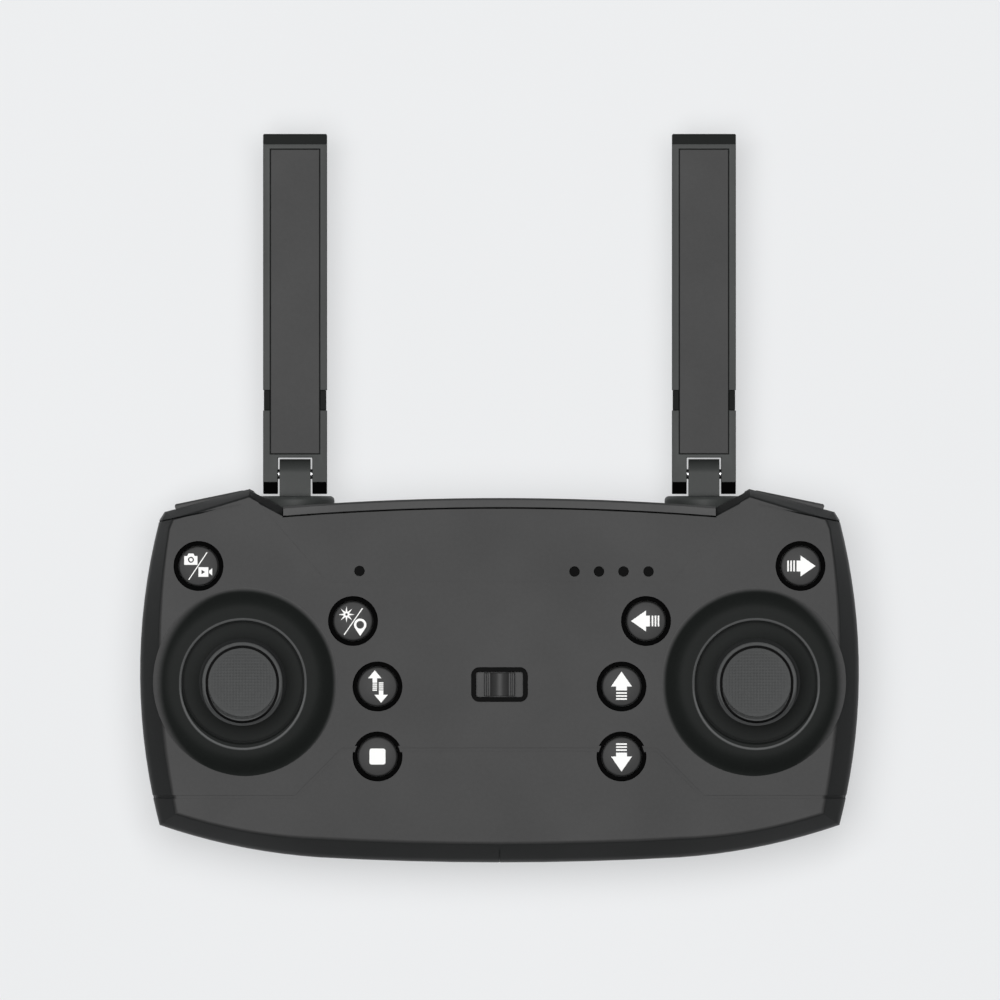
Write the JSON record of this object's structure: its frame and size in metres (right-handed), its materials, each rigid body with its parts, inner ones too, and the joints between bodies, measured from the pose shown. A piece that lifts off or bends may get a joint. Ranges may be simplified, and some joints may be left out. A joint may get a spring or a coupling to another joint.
{
  "type": "radio transmitter controller",
  "caption": "Handheld drone transmitter with sprung thumb sticks, face and shoulder keys, a slide switch, and folding antennas on swivelling turntables; battery bay in the back.",
  "frame": {"origin": "on the outer face of the battery door, straight behind the power switch", "axes": "+X towards the right-hand stick, +Y towards the antennas, +Z out of the front face"},
  "size_m": [0.144, 0.146, 0.039],
  "materials": {
    "shell_plastic": "fine matte texture",
    "bar_plastic": "fine matte texture",
    "bezel_plastic": "satin",
    "key_plastic": "satin",
    "knob_plastic": "satin",
    "black_rubber": "matte",
    "black_plastic": "gloss",
    "cap_rubber": "matte",
    "dome_plastic": "satin",
    "gimbal_plastic": "moulded",
    "steel": "plain",
    "pot_case": "moulded",
    "antenna_plastic": "fine matte texture",
    "panel_plastic": "fine matte texture",
    "dark_plastic": "satin",
    "circuit_board": "solder mask",
    "chip_epoxy": "moulded",
    "switch_body": "moulded",
    "led_epoxy": "diffused",
    "cell_wrap": "printed sleeve",
    "contact_metal": "nickel plated",
    "red_wire": "silicone",
    "black_wire": "silicone"
  },
  "bodies": {
    "controller_case": {"battery_cells": "cell_wrap", "battery_contacts": "contact_metal", "battery_lead_black": "black_wire", "battery_lead_red": "red_wire", "board_chips": "chip_epoxy", "button_collars": "black_rubber", "buzzer": "chip_epoxy", "case_screws": "steel", "front_shell": "shell_plastic", "gimbal_housings": "gimbal_plastic", "gimbal_pots": "pot_case", "gimbal_springs": "steel", "led_lenses": "black_plastic", "leds": "led_epoxy", "main_board": "circuit_board", "power_switch_bezel": "black_plastic", "power_switch_body": "switch_body", "rear_shell": "shell_plastic", "shoulder_switches": "switch_body", "stick_bezels": "bezel_plastic", "tact_switches": "switch_body", "top_bar": "bar_plastic"},
    "right_yoke": {"right_gimbal_yoke": "gimbal_plastic"},
    "right_rocker": {"right_gimbal_rocker": "gimbal_plastic"},
    "right_stick": {"right_stick_shaft": "steel", "right_stick_dome": "dome_plastic", "right_stick_cap": "cap_rubber"},
    "right_turntable": {"right_antenna_turntable": "antenna_plastic", "right_turntable_clip": "steel"},
    "right_antenna": {"right_antenna_frame": "antenna_plastic", "right_antenna_panel": "panel_plastic", "right_antenna_tip": "dark_plastic", "right_antenna_pads": "dark_plastic", "right_antenna_pin": "steel"},
    "right_shoulder": {"right_shoulder_button": "key_plastic"},
    "left_yoke": {"left_gimbal_yoke": "gimbal_plastic"},
    "left_rocker": {"left_gimbal_rocker": "gimbal_plastic"},
    "left_stick": {"left_stick_shaft": "steel", "left_stick_dome": "dome_plastic", "left_stick_cap": "cap_rubber"},
    "left_turntable": {"left_antenna_turntable": "antenna_plastic", "left_turntable_clip": "steel"},
    "left_antenna": {"left_antenna_frame": "antenna_plastic", "left_antenna_panel": "panel_plastic", "left_antenna_tip": "dark_plastic", "left_antenna_pads": "dark_plastic", "left_antenna_pin": "steel"},
    "left_shoulder": {"left_shoulder_button": "key_plastic"},
    "camera_key": {"camera_button": "key_plastic"},
    "light_home_key": {"light_home_button": "key_plastic"},
    "takeoff_key": {"takeoff_button": "key_plastic"},
    "stop_key": {"stop_button": "key_plastic"},
    "trim_right_key": {"trim_right_button": "key_plastic"},
    "trim_left_key": {"trim_left_button": "key_plastic"},
    "trim_up_key": {"trim_up_button": "key_plastic"},
    "trim_down_key": {"trim_down_button": "key_plastic"},
    "power_switch": {"power_switch_knob": "knob_plastic"},
    "battery_lid": {"battery_door": "shell_plastic", "battery_door_screw": "steel"}
  },
  "joints": [
    {"name": "right_stick_pitch", "type": "hinge", "parent": "controller_case", "child": "right_yoke", "pos_m": [0.0513, 0.00045, 0.016], "axis": [1, 0, 0], "range_deg": [-16, 16], "stiffness_Nm_per_rad": 0.03},
    {"name": "right_stick_roll", "type": "hinge", "parent": "right_yoke", "child": "right_stick", "pos_m": [0.0513, 0.00045, 0.016], "axis": [0, 1, 0], "range_deg": [-16, 16], "stiffness_Nm_per_rad": 0.03},
    {"name": "right_rocker_roll", "type": "hinge", "parent": "controller_case", "child": "right_rocker", "pos_m": [0.0513, 0.00045, 0.016], "axis": [0, 1, 0], "range_deg": [-16, 16]},
    {"name": "right_antenna_swivel", "type": "hinge", "parent": "controller_case", "child": "right_turntable", "pos_m": [0.041, 0.0361, 0.0155], "axis": [0, 1, 0], "range_deg": [-90, 90]},
    {"name": "right_antenna_fold", "type": "hinge", "parent": "right_turntable", "child": "right_antenna", "pos_m": [0.041, 0.042, 0.0155], "axis": [1, 0, 0], "range_deg": [0, 90]},
    {"name": "right_shoulder_press", "type": "slide", "parent": "controller_case", "child": "right_shoulder", "axis": [-0.2612, -0.9653, 0], "range_m": [0, 0.001], "stiffness_N_per_m": 400, "springref_m": -0.001},
    {"name": "left_stick_pitch", "type": "hinge", "parent": "controller_case", "child": "left_yoke", "pos_m": [-0.0513, 0.00045, 0.016], "axis": [1, 0, 0], "range_deg": [-16, 16], "stiffness_Nm_per_rad": 0.03},
    {"name": "left_stick_roll", "type": "hinge", "parent": "left_yoke", "child": "left_stick", "pos_m": [-0.0513, 0.00045, 0.016], "axis": [0, 1, 0], "range_deg": [-16, 16], "stiffness_Nm_per_rad": 0.03},
    {"name": "left_rocker_roll", "type": "hinge", "parent": "controller_case", "child": "left_rocker", "pos_m": [-0.0513, 0.00045, 0.016], "axis": [0, 1, 0], "range_deg": [-16, 16]},
    {"name": "left_antenna_swivel", "type": "hinge", "parent": "controller_case", "child": "left_turntable", "pos_m": [-0.041, 0.0361, 0.0155], "axis": [0, 1, 0], "range_deg": [-90, 90]},
    {"name": "left_antenna_fold", "type": "hinge", "parent": "left_turntable", "child": "left_antenna", "pos_m": [-0.041, 0.042, 0.0155], "axis": [1, 0, 0], "range_deg": [0, 90]},
    {"name": "left_shoulder_press", "type": "slide", "parent": "controller_case", "child": "left_shoulder", "axis": [0.2612, -0.9653, 0], "range_m": [0, 0.001], "stiffness_N_per_m": 400, "springref_m": -0.001},
    {"name": "camera_press", "type": "slide", "parent": "controller_case", "child": "camera_key", "axis": [0, 0, -1], "range_m": [0, 0.0008], "stiffness_N_per_m": 300, "springref_m": -0.001},
    {"name": "light_home_press", "type": "slide", "parent": "controller_case", "child": "light_home_key", "axis": [0, 0, -1], "range_m": [0, 0.0008], "stiffness_N_per_m": 300, "springref_m": -0.001},
    {"name": "takeoff_press", "type": "slide", "parent": "controller_case", "child": "takeoff_key", "axis": [0, 0, -1], "range_m": [0, 0.0008], "stiffness_N_per_m": 300, "springref_m": -0.001},
    {"name": "stop_press", "type": "slide", "parent": "controller_case", "child": "stop_key", "axis": [0, 0, -1], "range_m": [0, 0.0008], "stiffness_N_per_m": 300, "springref_m": -0.001},
    {"name": "trim_right_press", "type": "slide", "parent": "controller_case", "child": "trim_right_key", "axis": [0, 0, -1], "range_m": [0, 0.0008], "stiffness_N_per_m": 300, "springref_m": -0.001},
    {"name": "trim_left_press", "type": "slide", "parent": "controller_case", "child": "trim_left_key", "axis": [0, 0, -1], "range_m": [0, 0.0008], "stiffness_N_per_m": 300, "springref_m": -0.001},
    {"name": "trim_up_press", "type": "slide", "parent": "controller_case", "child": "trim_up_key", "axis": [0, 0, -1], "range_m": [0, 0.0008], "stiffness_N_per_m": 300, "springref_m": -0.001},
    {"name": "trim_down_press", "type": "slide", "parent": "controller_case", "child": "trim_down_key", "axis": [0, 0, -1], "range_m": [0, 0.0008], "stiffness_N_per_m": 300, "springref_m": -0.001},
    {"name": "power_switch_slide", "type": "slide", "parent": "controller_case", "child": "power_switch", "axis": [1, 0, 0], "range_m": [-0.0014, 0.0014]},
    {"name": "battery_door_lift", "type": "slide", "parent": "controller_case", "child": "battery_lid", "axis": [0, 0, -1], "range_m": [0, 0.02]}
  ],
  "couplings": [
    {"joint": "right_rocker_roll", "follows": "right_stick_roll", "ratio": 1},
    {"joint": "left_rocker_roll", "follows": "left_stick_roll", "ratio": 1}
  ]
}
